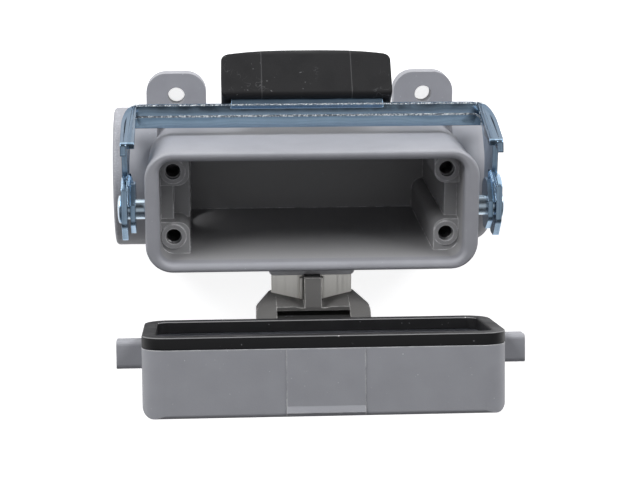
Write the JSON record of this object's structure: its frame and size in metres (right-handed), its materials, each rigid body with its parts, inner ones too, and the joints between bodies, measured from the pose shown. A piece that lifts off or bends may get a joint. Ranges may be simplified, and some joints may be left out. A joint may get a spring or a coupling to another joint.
{
  "type": "rectangular connector housing",
  "caption": "Surface-mount metal housing for a rectangular industrial connector, with a side cable entry, a locking lever with grip and a hinged sealed cover.",
  "frame": {"origin": "centre of the mounting face, midway between the four ear holes", "axes": "+Z away from the mounting face, out of the rim; +X along the long side, away from the open cable entry; +Y towards the side the released lever lies on"},
  "size_m": [0.0962, 0.0725, 0.1081],
  "materials": {
    "cast_housing": "fine light grey powder coat over a casting",
    "cast_cover": "fine grey powder coat over a casting",
    "cast_bracket": "satin grey cast surface",
    "stainless_plate": "smooth stainless sheet",
    "plain_steel": "turned steel",
    "zinc_plated_steel": "bright zinc with a blue passivated sheen",
    "black_rubber": "matte black moulded rubber",
    "black_plastic": "matte black moulded plastic with light scuffs"
  },
  "bodies": {
    "base": {"housing": "cast_housing", "hinge_plate": "stainless_plate", "hinge_bracket": "cast_bracket", "hinge_pin": "plain_steel", "pivot_pin_left": "zinc_plated_steel", "pivot_pin_right": "zinc_plated_steel"},
    "cover": {"cover": "cast_cover", "cover_gasket": "black_rubber"},
    "lever": {"lever": "zinc_plated_steel", "lever_grip": "black_plastic"}
  },
  "joints": [
    {"name": "cover_hinge", "type": "hinge", "parent": "base", "child": "cover", "pos_m": [0, -0.0269, 0.0634], "axis": [-1, 0, 0], "range_deg": [0, 80]},
    {"name": "lever_pivot", "type": "hinge", "parent": "base", "child": "lever", "pos_m": [0, 0, 0.0545], "axis": [1, 0, 0], "range_deg": [0, 86]}
  ]
}
